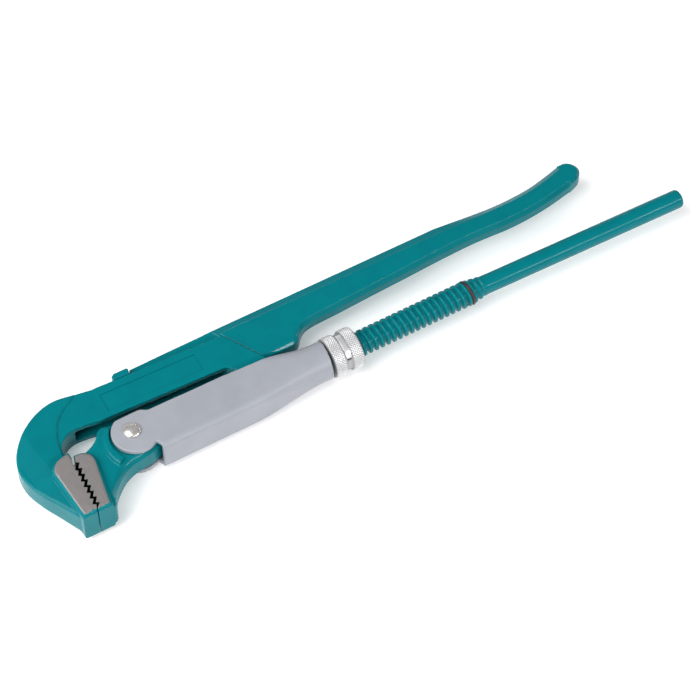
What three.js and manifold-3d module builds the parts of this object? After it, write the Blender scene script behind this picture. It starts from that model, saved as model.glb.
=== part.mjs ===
// A 90 degree Swedish-pattern pipe wrench, in millimetres.
// While it is built, X runs along the threaded rod from the jaws to the grip, Y points from the rod
// to the upper handle, Z is square to the tool's flat, and the jaw rivet stands at X 0.
import * as THREE from "three";
import { mergeVertices } from "three/addons/utils/BufferGeometryUtils.js";
import Module from "manifold-3d";

const wasm = await Module();
wasm.setup();

// ---- clearances
const GAP = 0.3; // between pieces that lie or slide side by side
const SIDE_GAP = 0.5; // between the sleeve's inner faces and the forgings that slide in it
const PIN_GAP = 0.15; // round a pin in its hole
const THREAD_GAP = 0.25; // between the rod's thread and the nut's
const HEAD_GAP = 0.1; // under a rivet head

// ---- sleeve: a folded channel that runs into a round tube
const SLEEVE_HALF = 8.5; // half the width across the two cheeks
const SLEEVE_WALL = 2.2;
const WEB_Y = -10.1; // outer face of the folded web
const CHEEK_TOP = 10.1; // open edge of the cheeks
const FOLD_R = 3.0; // outer radius of the folds
const TUBE_R = 8.7; // outer radius of the tube end
const TUBE_TOP = 8.6; // where the cheeks' edges meet above the tube
const SLEEVE_END = 92.6;
const ROUND_FROM = 52.0; // the channel starts to close here
const ROUND_TO = 88.0; // and is a round tube from here
const WEB_FRONT = 8.0; // front edge of the web
const EAR_R = 10.3; // rounded front end of each cheek
const EAR_X = 1.0;
const EAR_Y = 2.9;
const EAR_BUMP_X = 6.6; // small rise on the cheek's top edge, behind the ear
const EAR_BUMP_Y = 12.3;

// ---- rivet that carries the short jaw
const RIVET_Y = 3.8;
const RIVET_R = 2.8;
const RIVET_HEAD_R = 3.9;
const RIVET_DOME = 1.7;

// ---- thread of the rod, right-handed
const PITCH = 3.0;
const THREAD_R = 5.87; // crest
const CORE_R = 4.4; // root, and the plain grip behind it
const CREST_W = PITCH / 3;
const ROOT_W = 0.68 * PITCH; // width of the ridge where it leaves the core
const THREAD_SINK = 0.35; // the ridge's foot lies this deep in the core
const THREAD_FROM = 90.0;
const THREAD_TO = 173.0;
const RUN_OUT = 9.0; // length over which the thread fades away
const THREAD_STEPS = 16; // straight pieces to a turn

// ---- rod
const SHANK_R = THREAD_R - 0.07; // plain part inside the sleeve
const SHANK_FROM = 72.0;
const GRIP_BEND = THREE.MathUtils.degToRad(1.2); // the grip leans slightly away from the handle
const GRIP_FROM = 172.0;
const ROD_END = 276.4;
const GRIP_CHAMFER = 1.3;

// ---- pivots inside the sleeve
const PIVOT_X = 63.0; // both pins stand here
const ROD_PIN_Y = -1.5; // the rod on the handle
const HOOK_PIN_Y = 7.0; // the hook on the handle
const PIN_R = 2.0;
const FORK_R = 3.6; // rounded ends of the rod's fork
const FORK_ROUND = 6.85; // radius the fork's outer corners are forged to
const FORK_HALF = SLEEVE_HALF - SLEEVE_WALL - SIDE_GAP;
const HANDLE_LUG_R = 3.9;
const HOOK_LUG_R = 4.2;

// ---- hook jaw and short jaw
const HEAD_HALF = 6.6; // half the thickness of both jaws' bodies
const CHEEK_HALF = SLEEVE_HALF - SLEEVE_WALL - SIDE_GAP; // half the forked shank's thickness
const PAD_HALF = 9.2; // half the width of the toothed pads
const PAD_FLARE = 1.1; // how far a pad's sides spread on their way down to the body
const PAD_LAND = 0.35; // straight edge under a pad's face, before it spreads
const SLOT_HALF = 3.2; // half the gap between the shank's two cheeks
const SLOT_FROM = -19.0;
const JAW_BEVEL = 1.1;
const TONGUE_HALF = SLEEVE_HALF - SLEEVE_WALL - GAP; // the short jaw between the sleeve's ears
const RIDGE_HALF = 7.7; // the arc ridge round the ears
const RIDGE_W = 3.1;
const PANEL_DEPTH = 0.35; // shallow field on each cheek for size marks, left blank

// ---- teeth, cut across both pads
const TEETH = 8;
const TOOTH_PITCH = 3.13;
const TOOTH_REACH = 1.45; // from a root to its tip, towards the other jaw
const TOOTH_DROP = 0.85; // how far the tip lies below its root
const BITE_LEAN = 0.073; // the bite line leans this much for each millimetre down
const BITE_X = -29.75; // first root of the hook's teeth
const BITE_Y = 0.75;
const BITE_GAP_X = 1.8; // from the hook's teeth to the short jaw's
const BITE_GAP_Y = 0.3;
const NOSE_X = -30.85; // flat nose below the teeth, where the jaws meet
const NOSE_GAP = 0.45;
const NOSE_END = -24.9; // end faces of both jaws

// ---- upper handle
const TONGUE_GAP = 0.25;
const HANDLE_TONGUE_HALF = SLOT_HALF - TONGUE_GAP;
const HANDLE_HALF = 4.4;
const HANDLE_BEVEL = 1.5;
const STOP_HALF = CHEEK_HALF; // the toe that rests on the hook's back
const STOP_FROM = 6.0;
const STOP_TO = 13.5;
const SHOULDER_GAP = 0.9; // from the hook's rear edge to the handle's thicker part

// ---- adjusting nut
const NUT_FROM = SLEEVE_END + 0.5;
const NUT_LENGTH = 13.9;
const NUT_R = 9.4;
const NUT_CHAMFER = 0.7;
const NUT_GROOVE_W = 3.0;
const NUT_GROOVE_R = 8.3;
const CLIP_FROM = THREE.MathUtils.degToRad(66); // angles round the rod, from +Y towards +Z
const CLIP_TO = THREE.MathUtils.degToRad(147);
const CLIP_R = 9.1; // outer radius of the strip in the groove
const CLIP_SIDE = 0.2; // room on each side of the strip
const CLIP_UNDER = 0.12; // and under it
const CLIP_NOTCH = THREE.MathUtils.degToRad(8); // small hole that takes the strip's tail
const NUT_SLOT_FROM = THREE.MathUtils.degToRad(24); // slot through the wall

// ---- wire ring that stops the nut
const RING_X = 163.2;
const WIRE_R = PITCH / 5;
const RING_R = CORE_R + WIRE_R + 0.35; // radius of the wire's centre line
const RING_OPEN = THREE.MathUtils.degToRad(26);

// ---- colours
const TEAL = 0x04838a;
const SLEEVE_GREY = 0xa8abb3;
const STEEL = 0xb9b7b3;
const ZINC = 0xd8d9da;
const RING_BROWN = 0x3a2a26;

// A closed three.js geometry as a solid.
function solid(geometry) {
  geometry.deleteAttribute("normal");
  geometry.deleteAttribute("uv");
  const merged = mergeVertices(geometry, 1e-4);
  return new wasm.Manifold(
    new wasm.Mesh({
      numProp: 3,
      vertProperties: merged.attributes.position.array,
      triVerts: new Uint32Array(merged.index.array),
    }),
  );
}

const v = (x, y) => new THREE.Vector2(x, y);

// A plate of the given outline, centred on Z 0, with its edges bevelled.
function plate(outline, half, bevel = 0, steps = 2, curves = 8) {
  const shape = Array.isArray(outline) ? new THREE.Shape(outline) : outline;
  const g = new THREE.ExtrudeGeometry(shape, {
    depth: 2 * (half - bevel),
    bevelEnabled: bevel > 0,
    bevelThickness: bevel,
    bevelSize: bevel,
    bevelOffset: -bevel,
    bevelSegments: steps,
    curveSegments: curves,
  });
  return solid(g.translate(0, 0, bevel - half));
}

// The same plate, kept only between two heights.
function slab(outline, low, high) {
  const shape = Array.isArray(outline) ? new THREE.Shape(outline) : outline;
  const g = new THREE.ExtrudeGeometry(shape, {
    depth: high - low,
    bevelEnabled: false,
    curveSegments: 10,
  });
  return solid(g.translate(0, 0, low));
}

function circle(x, y, r, steps = 40) {
  const points = [];
  for (let i = 0; i < steps; i++) {
    const a = (2 * Math.PI * i) / steps;
    points.push(v(x + r * Math.cos(a), y + r * Math.sin(a)));
  }
  return points;
}

const box = (x0, x1, y0, y1, z0, z1) =>
  slab([v(x0, y0), v(x1, y0), v(x1, y1), v(x0, y1)], z0, z1);

// A smooth line through the points.
const smooth = (points, steps) =>
  new THREE.SplineCurve(points).getPoints(steps);

// A solid of revolution about the rod's axis, from pairs of place along X and radius.
function turned(profile, steps = 40) {
  const g = new THREE.LatheGeometry(
    profile.toReversed().map(([x, r]) => v(r, -x)),
    steps,
  );
  return solid(g.rotateZ(Math.PI / 2));
}

// A closed solid from rings of points, each ring the same length.
function loft(rings) {
  const n = rings[0].length;
  const index = [];
  const positions = rings.flat().flatMap((p) => [p.x, p.y, p.z]);
  for (let i = 0; i + 1 < rings.length; i++) {
    for (let j = 0; j < n; j++) {
      const a = i * n + j;
      const b = i * n + ((j + 1) % n);
      index.push(a, b, a + n, b, b + n, a + n);
    }
  }
  for (const [ring, turn] of [[0, 1], [rings.length - 1, 0]]) {
    const middle = positions.length / 3;
    const c = new THREE.Vector3();
    rings[ring].forEach((p) => c.addScaledVector(p, 1 / n));
    positions.push(c.x, c.y, c.z);
    for (let j = 0; j < n; j++) {
      const a = ring * n + j;
      const b = ring * n + ((j + 1) % n);
      index.push(middle, turn ? b : a, turn ? a : b);
    }
  }
  const g = new THREE.BufferGeometry();
  g.setAttribute("position", new THREE.Float32BufferAttribute(positions, 3));
  g.setIndex(index);
  const made = solid(g);
  if (made.volume() > 0) return made;
  for (let i = 0; i < index.length; i += 3) {
    [index[i + 1], index[i + 2]] = [index[i + 2], index[i + 1]];
  }
  g.setIndex(index);
  return solid(g);
}

// A ridge that winds round the rod. The section gives pairs of place along X and radius, and fade
// says how much of the section's height is left at a place along the rod.
function ridge(section, from, to, fade) {
  const floor = Math.min(...section.map((p) => p[1]));
  const turns = (to - from) / PITCH;
  const steps = Math.ceil(turns * THREAD_STEPS);
  const rings = [];
  for (let i = 0; i <= steps; i++) {
    const t = Math.min(i / THREAD_STEPS, turns);
    const a = 2 * Math.PI * (t + from / PITCH);
    const x = from + PITCH * t;
    const left = fade(x);
    rings.push(
      section.map(([dx, r]) => {
        const height = floor + (r - floor) * left;
        return new THREE.Vector3(
          x + dx * (0.4 + 0.6 * left),
          height * Math.cos(a),
          height * Math.sin(a),
        );
      }),
    );
  }
  return loft(rings);
}

// An outline pushed outwards by a distance, for clearances.
function grown(outline, by) {
  const area = THREE.ShapeUtils.area(outline);
  const sign = area > 0 ? 1 : -1;
  const n = outline.length;
  return outline.map((p, i) => {
    const before = outline[(i + n - 1) % n];
    const after = outline[(i + 1) % n];
    const a = p.clone().sub(before).normalize();
    const b = after.clone().sub(p).normalize();
    const normal = v(a.y + b.y, -a.x - b.x).normalize();
    const stretch = Math.max(0.5, normal.dot(v(a.y, -a.x)));
    return p.clone().addScaledVector(normal, (sign * by) / stretch);
  });
}

// ---- bite line: a saw-toothed line, shared by both jaws
function bite(shiftX, shiftY, noseX) {
  const line = [];
  for (let i = 0; i < TEETH; i++) {
    const x = BITE_X - BITE_LEAN * TOOTH_PITCH * i + shiftX;
    const y = BITE_Y - TOOTH_PITCH * i + shiftY;
    line.push(v(x, y), v(x + TOOTH_REACH, y - TOOTH_DROP));
  }
  line.push(v(noseX, BITE_Y - TOOTH_PITCH * TEETH + shiftY));
  line.push(v(noseX, NOSE_END - 5));
  return line;
}

// ---- hook jaw
const shankTop = (x) => 33.1 - 0.045 * x; // the hook's back, leaning slightly
const hookRear = [v(57.6, 30.5), v(68.4, 11.0)]; // slanted rear edge of the shank

const hookOuter = smooth(
  [v(-36.7, -24.5), v(-38.9, -20.1), v(-43.0, -11.6), v(-46.5, -4.7), v(-49.3, 3.2),
    v(-50.0, 9.4), v(-48.9, 15.6), v(-45.6, 21.8), v(-39.3, 28.5), v(-30.9, 33.7),
    v(-22.0, 35.9), v(-12.4, 34.6), v(-5.5, shankTop(-5.5))],
  34,
);
const hookThroat = smooth(
  [v(-9.0, 17.1), v(-15.5, 18.2), v(-22.2, 18.1), v(-27.2, 15.2), v(-29.4, 11.0),
    v(-28.9, 7.0)],
  12,
);
const hookOutline = [
  v(NOSE_X + 2, -25.4),
  ...hookOuter,
  v(56.6, shankTop(56.6)),
  hookRear[0].clone().add(v(0.3, -0.4)),
  hookRear[1],
  v(PIVOT_X + HOOK_LUG_R, HOOK_PIN_Y + 0.8),
  v(PIVOT_X + HOOK_LUG_R * 0.75, HOOK_PIN_Y - HOOK_LUG_R * 0.66),
  v(PIVOT_X, HOOK_PIN_Y - HOOK_LUG_R),
  v(PIVOT_X - HOOK_LUG_R * 0.75, HOOK_PIN_Y - HOOK_LUG_R * 0.66),
  v(PIVOT_X - HOOK_LUG_R * 1.15, HOOK_PIN_Y + 0.6),
  v(53.9, 11.4),
  v(51.9, 14.0),
  v(49.9, 14.8),
  ...hookThroat,
  v(BITE_X - 2.2, 0.6),
  v(NOSE_X + 2, -4),
];
const hookPad = [
  v(-29.0, 6.6), v(-31.8, 6.2), v(-34.9, 5.0), v(-37.0, 2.9), v(-37.9, 0.2),
  v(-37.7, -2.5), v(-36.4, NOSE_END - 1), v(NOSE_X + 2, NOSE_END - 1),
  v(NOSE_X + 2, 1.4), v(-28.4, 2.6),
];
const hookBite = bite(0, 0, NOSE_X);
const beyondHook = [v(-24, 9.5), v(-28.3, 9.5), v(-28.3, 4.0), ...hookBite, v(-24, NOSE_END - 5)];

function pad(outline) {
  // The sides spread from the pad's face down to the jaw's body.
  const top = slab(outline, -PAD_HALF, PAD_HALF);
  const ramp = plate(grown(outline, PAD_FLARE), PAD_HALF - PAD_LAND, PAD_FLARE, 1);
  return top.add(ramp);
}

const noseTrim = slab(
  [v(-60, NOSE_END), v(0, NOSE_END), v(0, NOSE_END - 20), v(-60, NOSE_END - 20)],
  -2 * PAD_HALF,
  2 * PAD_HALF,
);

let hook = plate(hookOutline, HEAD_HALF, JAW_BEVEL, 2);
const milled = [v(75, 40), v(75, -10), v(-6, -10), v(-20, 20)];
const cutterEdge = smooth(
  [v(-20, 20), v(-23.8, 25.5), v(-20.5, 29.5), v(-15.5, 33), v(-9, 37)],
  10,
);
const shankField = [...milled.slice(0, 3), ...cutterEdge, v(-5, 42)];
hook = hook
  .subtract(slab(shankField, CHEEK_HALF, 2 * HEAD_HALF))
  .subtract(slab(shankField, -2 * HEAD_HALF, -CHEEK_HALF))
  .add(pad(hookPad))
  .subtract(slab(beyondHook, -2 * PAD_HALF, 2 * PAD_HALF))
  .subtract(noseTrim);
const slotEnd = smooth(
  [v(-12, 27), v(-18, 26.4), v(SLOT_FROM - 1.6, 22), v(-18.5, 14)],
  8,
);
const slotOutline = [v(80, -10), v(80, 45), v(-12, 45), ...slotEnd, v(-14, 5), v(30, -10)];
hook = hook.subtract(slab(slotOutline, -SLOT_HALF, SLOT_HALF));
hook = hook.subtract(slab(circle(PIVOT_X, HOOK_PIN_Y, PIN_R + PIN_GAP, 20), -20, 20));
const panel = [v(-3.2, 19.6), v(42.0, 18.4), v(42.5, 27.6), v(-3.0, 28.9)];
for (const side of [1, -1]) {
  const low = side > 0 ? CHEEK_HALF - PANEL_DEPTH : -CHEEK_HALF - 1;
  hook = hook.subtract(slab(panel, low, low + 1 + PANEL_DEPTH));
}

// ---- short jaw
const ear = [];
for (let i = 0; i <= 26; i++) {
  const a = THREE.MathUtils.degToRad(118 + (i / 26) * 187);
  ear.push(v(EAR_X + EAR_R * Math.cos(a), EAR_Y + EAR_R * Math.sin(a)));
}
const sleeveSide = [
  v(EAR_BUMP_X, EAR_BUMP_Y),
  ...ear,
  v(WEB_FRONT - 0.8, -6.4),
  v(WEB_FRONT, WEB_Y + 1.2),
  v(WEB_FRONT, WEB_Y - 1),
  v(SLEEVE_END, WEB_Y - 1),
  v(SLEEVE_END, TUBE_R + 2),
  v(ROUND_TO - 3, TUBE_R + 2),
  v(ROUND_TO - 6, TUBE_TOP),
  v(ROUND_FROM + 3, CHEEK_TOP - 0.9),
  v(48, CHEEK_TOP - 0.5),
  v(11.6, CHEEK_TOP),
  v(10.4, CHEEK_TOP + 0.3),
  v(8.4, CHEEK_TOP + 1.6),
];

const jawOutline = [
  v(NOSE_X, -25.6), v(-22.9, -25.2), v(-21.6, -24.0), v(-21.0, -22.0), v(-18.7, -18.0),
  v(-14.8, -14.1), v(-10.4, -10.9), v(-5.4, -9.0), v(-1.0, -8.3), v(3.5, -7.6),
  v(7.2, -6.5), v(10.4, -5.3), v(11.2, -3.8), v(10.6, -1.6), v(8.6, 0.4), v(8.6, 5.0),
  v(7.4, 8.3), v(4.6, 11.0), v(1.0, 12.2), v(-3.5, 12.0), v(-6.8, 12.3), v(-9.2, 13.2),
  v(-11.2, 13.0), v(-12.9, 11.7), v(-14.8, 9.2), v(-18.2, 6.8), v(-21.7, 5.4),
  v(-24.6, 4.6), v(-27.2, 4.4), v(-28.2, 3.0), v(NOSE_X, -4),
];
const jawPad = [
  v(NOSE_X, NOSE_END - 1), v(-24.9, NOSE_END - 1), v(-20.3, -2.2), v(-20.4, 0.4), v(-21.4, 2.3),
  v(-23.2, 3.6), v(-25.2, 4.1), v(-27.4, 3.9), v(-28.6, 2.6), v(NOSE_X, -3),
];
const jawBite = bite(BITE_GAP_X, BITE_GAP_Y, NOSE_X + NOSE_GAP);
const beyondJaw = [v(-40, 7), v(-27, 7), v(-27, 3.8), ...jawBite, v(-40, NOSE_END - 5)];

const ridgeIn = EAR_R + SIDE_GAP;
const ridgeArc = [];
function ridgeLine(r, from, to) {
  const steps = 18;
  for (let i = 0; i <= steps; i++) {
    const a = THREE.MathUtils.degToRad(from + ((to - from) * i) / steps);
    ridgeArc.push(v(EAR_X + r * Math.cos(a), EAR_Y + r * Math.sin(a)));
  }
}
ridgeLine(ridgeIn + RIDGE_W, 132, 238);
ridgeLine(ridgeIn - 1.5, 238, 132);
const earClear = [
  ...circle(EAR_X, EAR_Y, ridgeIn, 48).filter((p) => p.x < EAR_X + 1),
  v(3.0, EAR_Y - ridgeIn), v(30, EAR_Y - ridgeIn), v(30, 20), v(3, 20),
];
let jaw = plate(jawOutline, HEAD_HALF, JAW_BEVEL, 2).add(plate(ridgeArc, RIDGE_HALF, 0.6, 2));
jaw = jaw
  .subtract(slab(earClear, TONGUE_HALF, 20))
  .subtract(slab(earClear, -20, -TONGUE_HALF))
  .add(pad(jawPad))
  .subtract(slab(beyondJaw, -2 * PAD_HALF, 2 * PAD_HALF))
  .subtract(noseTrim)
  .subtract(slab(circle(0, RIVET_Y, RIVET_R + PIN_GAP, 32), -20, 20));

// ---- sleeve
// A section across the rod: a round-cornered box at 0, a circle at 1.
function section(x, half, low, high, corner, radius, round) {
  const points = [];
  const steps = 32;
  for (let i = 0; i < steps; i++) {
    const a = (2 * Math.PI * (i + 0.5)) / steps;
    const c = Math.cos(a);
    const s = Math.sin(a);
    const middle = (low + high) / 2;
    const tall = (high - low) / 2;
    // the corner arcs take the sharper share of the turn
    const cy = middle + Math.sign(c) * (tall - corner);
    const cz = Math.sign(s) * (half - corner);
    const boxY = cy + corner * c;
    const boxZ = cz + corner * s;
    points.push(
      new THREE.Vector3(
        x,
        boxY * (1 - round) + radius * c * round,
        boxZ * (1 - round) + radius * s * round,
      ),
    );
  }
  return points;
}
const ease = (t) => t * t * (3 - 2 * t);
const outerRings = [];
const innerRings = [];
const roomRings = []; // what is left for the fork and the pins between the tapering cheeks
const places = [-14, ROUND_FROM];
for (let i = 1; i <= 9; i++) places.push(ROUND_FROM + ((ROUND_TO - ROUND_FROM) * i) / 9);
places.push(SLEEVE_END);
const BORE_R = THREAD_R + GAP;
for (const x of places) {
  const t = THREE.MathUtils.clamp((x - ROUND_FROM) / (ROUND_TO - ROUND_FROM), 0, 1);
  const round = ease(t);
  outerRings.push(section(x, SLEEVE_HALF, WEB_Y, CHEEK_TOP + 4, FOLD_R, TUBE_R, round));
  innerRings.push(
    section(
      x === SLEEVE_END ? x + 5 : x,
      SLEEVE_HALF - SLEEVE_WALL,
      WEB_Y + SLEEVE_WALL,
      CHEEK_TOP + 8,
      FOLD_R - SLEEVE_WALL + 0.4,
      BORE_R,
      round,
    ),
  );
  roomRings.push(
    section(
      x,
      SLEEVE_HALF - SLEEVE_WALL - GAP,
      WEB_Y + SLEEVE_WALL,
      CHEEK_TOP + 8,
      FOLD_R - SLEEVE_WALL + 0.4,
      BORE_R - GAP,
      round,
    ),
  );
}
const sleeveRoom = loft(roomRings);
const earInside = SLEEVE_HALF - SLEEVE_WALL;
const endChamfer = 0.6;
let sleeve = loft(outerRings)
  .intersect(slab(sleeveSide, -20, 20))
  .subtract(loft(innerRings))
  .subtract(box(-20, WEB_FRONT, -20, 0, -earInside, earInside))
  .subtract(slab(circle(0, RIVET_Y, RIVET_R + PIN_GAP, 32), -20, 20));
const chamferedEnd = [
  [-30, 0], [-30, 40], [SLEEVE_END - 8, 40], [SLEEVE_END - 8, TUBE_R + 3],
  [SLEEVE_END - endChamfer, TUBE_R + 0.02], [SLEEVE_END, TUBE_R - endChamfer], [SLEEVE_END, 0],
];
sleeve = sleeve.intersect(turned(chamferedEnd, 48));

// ---- rivet, domed at both ends
const headBase = SLEEVE_HALF + HEAD_GAP;
const dome = [];
for (let i = 0; i <= 4; i++) {
  const a = (i / 4) * (Math.PI / 2);
  dome.push([headBase + RIVET_DOME * Math.sin(a), RIVET_HEAD_R * Math.cos(a)]);
}
dome[dome.length - 1][1] = 0;
const rivetHalf = [[headBase, RIVET_R], ...dome];
const rivetProfile = [
  ...[...rivetHalf].reverse().map(([z, r]) => [-z, r]),
  ...rivetHalf,
];
const rivet = turned(rivetProfile, 24)
  .rotate([0, -90, 0])
  .translate([0, RIVET_Y, 0]);

// ---- rod: fork, shank, thread and grip
const forkOutline = [];
for (let i = 0; i <= 12; i++) {
  const a = Math.PI / 2 + (i / 12) * Math.PI;
  forkOutline.push(v(PIVOT_X + FORK_R * Math.cos(a), ROD_PIN_Y + FORK_R * Math.sin(a)));
}
forkOutline.push(v(SHANK_FROM - 1, ROD_PIN_Y - FORK_R * 0.9), v(SHANK_FROM + 3, -3.5));
forkOutline.push(v(SHANK_FROM + 3, 3.5), v(SHANK_FROM - 1.5, 2.4));
let rod = plate(forkOutline, FORK_HALF, 0.4, 1)
  .intersect(turned([[40, 0], [40, FORK_ROUND], [90, FORK_ROUND], [90, 0]], 40))
  .intersect(sleeveRoom)
  .subtract(box(50, SHANK_FROM - 0.5, -15, 10, -HANDLE_TONGUE_HALF - GAP, HANDLE_TONGUE_HALF + GAP))
  .subtract(slab(circle(PIVOT_X, ROD_PIN_Y, PIN_R + PIN_GAP, 20), -20, 20));
rod = rod.add(
  turned([[SHANK_FROM, 0], [SHANK_FROM, SHANK_R - 1.2], [SHANK_FROM + 1.2, SHANK_R],
    [THREAD_FROM - 3.5, SHANK_R], [THREAD_FROM - 1.5, CORE_R], [GRIP_FROM + 1, CORE_R],
    [GRIP_FROM + 1, 0]], THREAD_STEPS),
);
const gripLength = (ROD_END - GRIP_FROM) / Math.cos(GRIP_BEND);
rod = rod.add(
  turned([[0, 0], [0, CORE_R], [gripLength - GRIP_CHAMFER * 1.4, CORE_R],
    [gripLength - 0.5, CORE_R - GRIP_CHAMFER * 0.55], [gripLength, CORE_R - GRIP_CHAMFER * 1.3],
    [gripLength, 0]], 2 * THREAD_STEPS)
    .rotate([0, 0, -THREE.MathUtils.radToDeg(GRIP_BEND)])
    .translate([GRIP_FROM, 0, 0]),
);
const ridgeSection = [
  [-ROOT_W / 2, CORE_R - THREAD_SINK], [-CREST_W / 2, THREAD_R], [CREST_W / 2, THREAD_R],
  [ROOT_W / 2, CORE_R - THREAD_SINK],
];
const rodFade = (x) => {
  const end = THREE.MathUtils.clamp((THREAD_TO - x) / RUN_OUT, 0, 1);
  const start = THREE.MathUtils.clamp((x - THREAD_FROM) / PITCH, 0, 1);
  return 0.15 + 0.85 * Math.min(end, start);
};
rod = rod.add(ridge(ridgeSection, THREAD_FROM, THREAD_TO, rodFade));

// ---- nut
const nutTo = NUT_FROM + NUT_LENGTH;
const nutMiddle = (NUT_FROM + nutTo) / 2;
const grooveFrom = nutMiddle - NUT_GROOVE_W / 2;
const grooveTo = nutMiddle + NUT_GROOVE_W / 2;
const nutBore = CORE_R + 2 * THREAD_GAP;
let nut = turned([
  [NUT_FROM, nutBore], [NUT_FROM, NUT_R - NUT_CHAMFER], [NUT_FROM + NUT_CHAMFER, NUT_R],
  [grooveFrom - 0.4, NUT_R], [grooveFrom, NUT_R - 0.4], [grooveFrom, NUT_GROOVE_R],
  [grooveTo, NUT_GROOVE_R], [grooveTo, NUT_R - 0.4], [grooveTo + 0.4, NUT_R],
  [nutTo - NUT_CHAMFER, NUT_R], [nutTo, NUT_R - NUT_CHAMFER], [nutTo, nutBore],
  [NUT_FROM, nutBore]], 2 * THREAD_STEPS);
const femaleSection = [
  [-ROOT_W / 2 - THREAD_GAP, CORE_R - THREAD_SINK],
  [-CREST_W / 2 - THREAD_GAP, THREAD_R + THREAD_GAP],
  [CREST_W / 2 + THREAD_GAP, THREAD_R + THREAD_GAP],
  [ROOT_W / 2 + THREAD_GAP, CORE_R - THREAD_SINK],
];
const tapFrom = PITCH * Math.floor(NUT_FROM / PITCH - 1);
nut = nut.subtract(ridge(femaleSection, tapFrom, tapFrom + NUT_LENGTH + 3 * PITCH, () => 1));

// A wedge of the space round the rod, between two angles.
function sector(x0, x1, low, high, from, to, steps) {
  const points = [];
  for (let i = 0; i <= steps; i++) {
    const a = from + ((to - from) * i) / steps;
    points.push(v(high * Math.cos(a), high * Math.sin(a)));
  }
  for (let i = steps; i >= 0; i--) {
    const a = from + ((to - from) * i) / steps;
    points.push(v(low * Math.cos(a), low * Math.sin(a)));
  }
  const g = new THREE.ExtrudeGeometry(new THREE.Shape(points), {
    depth: x1 - x0,
    bevelEnabled: false,
  });
  // the outline's first axis becomes Y and its second Z
  const m = new THREE.Matrix4().set(0, 0, 1, x0, 1, 0, 0, 0, 0, 1, 0, 0, 0, 0, 0, 1);
  return solid(g.applyMatrix4(m));
}
const inGroove = (room, low, high, from, to, steps) =>
  sector(grooveFrom + room, grooveTo - room, low, high, from, to, steps);
nut = nut
  .subtract(inGroove(0.2, CORE_R, NUT_R + 1, NUT_SLOT_FROM, CLIP_FROM - 0.03, 12))
  .subtract(inGroove(0.5, CORE_R, NUT_R + 1, CLIP_TO + 0.02, CLIP_TO + CLIP_NOTCH, 3));
const clip = inGroove(CLIP_SIDE, NUT_GROOVE_R + CLIP_UNDER, CLIP_R, CLIP_FROM, CLIP_TO, 14);

// ---- stop ring: one turn of wire lying in the thread
const wire = [];
for (let j = 0; j < 6; j++) {
  const b = (2 * Math.PI * j) / 6;
  wire.push([WIRE_R * Math.cos(b), WIRE_R * Math.sin(b)]);
}
const ringRings = [];
const ringSteps = 26;
for (let i = 0; i <= ringSteps; i++) {
  const a = -2.2 + ((2 * Math.PI - RING_OPEN) * i) / ringSteps;
  const turn = a / (2 * Math.PI);
  const start = Math.round(RING_X / PITCH) * PITCH + PITCH / 2;
  const x = start + PITCH * turn;
  ringRings.push(
    wire.map(([dx, dr]) => {
      const r = RING_R + dr;
      return new THREE.Vector3(x + dx, r * Math.cos(a), r * Math.sin(a));
    }),
  );
}
const ring = loft(ringRings);

// ---- upper handle
const belly = smooth(
  [v(83.6, 11.9), v(86.4, 13.3), v(89.2, 16.6), v(92.8, 18.9), v(98.5, 19.8), v(110.0, 20.2)],
  12,
);
const handleLower = smooth(
  [v(110.0, 20.2), v(128.0, 21.2), v(147.0, 22.1), v(166.0, 23.1), v(181.0, 23.5), v(191.0, 23.2),
    v(201.5, 22.7), v(212.5, 23.2), v(224.0, 24.6), v(236.5, 27.1)],
  20,
);
const handleTip = smooth(
  [v(236.5, 27.1), v(242.2, 29.4), v(244.6, 33.0), v(243.6, 36.8), v(240.6, 39.3), v(236.6, 39.4)],
  10,
);
const handleUpper = smooth(
  [v(236.6, 39.4), v(226.0, 36.7), v(216.0, 35.0), v(203.0, 34.4), v(190.0, 34.9), v(170.0, 36.6)],
  14,
);
const lugArc = [];
for (let i = 0; i <= 10; i++) {
  const a = Math.PI * 1.02 + (i / 10) * Math.PI * 1.0;
  lugArc.push(v(PIVOT_X + HANDLE_LUG_R * Math.cos(a), ROD_PIN_Y + HANDLE_LUG_R * Math.sin(a)));
}
const handleOutline = [
  v(STOP_FROM, 33.0),
  v(STOP_FROM - 0.4, 27.5),
  v(STOP_FROM + 1.5, 24.0),
  v(40.0, 20.4),
  v(50.0, 17.8),
  v(55.5, 10.5),
  ...lugArc,
  v(68.4, 6.5),
  v(69.4, 11.7),
  ...belly,
  ...handleLower.slice(1),
  ...handleTip.slice(1),
  ...handleUpper.slice(1),
  v(60.0, 36.7),
  v(STOP_TO + 1.5, 36.2),
  v(STOP_TO, shankTop(STOP_TO) + 0.1),
];
let handle = plate(handleOutline, HANDLE_HALF, HANDLE_BEVEL, 2);
const along = hookRear[1].clone().sub(hookRear[0]).normalize();
const away = v(-along.y, along.x).multiplyScalar(SHOULDER_GAP);
const shoulderTop = hookRear[0].clone().addScaledVector(along, -20).add(away);
const shoulderLow = hookRear[1].clone().addScaledVector(along, 25).add(away);
const tongueField = [shoulderTop, v(-10, 60), v(-10, -20), shoulderLow];
for (const side of [1, -1]) {
  const low = side > 0 ? HANDLE_TONGUE_HALF : -20;
  handle = handle.subtract(slab(tongueField, low, low + 20 - (side > 0 ? 0 : HANDLE_TONGUE_HALF)));
}
const stopOutline = [
  v(STOP_FROM, shankTop(STOP_FROM) + HEAD_GAP), v(STOP_TO, shankTop(STOP_TO) + HEAD_GAP),
  v(STOP_TO + 0.7, 35.2), v(STOP_TO, 35.8), v(STOP_FROM + 1.8, 36.0), v(STOP_FROM, 35.0),
];
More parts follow.
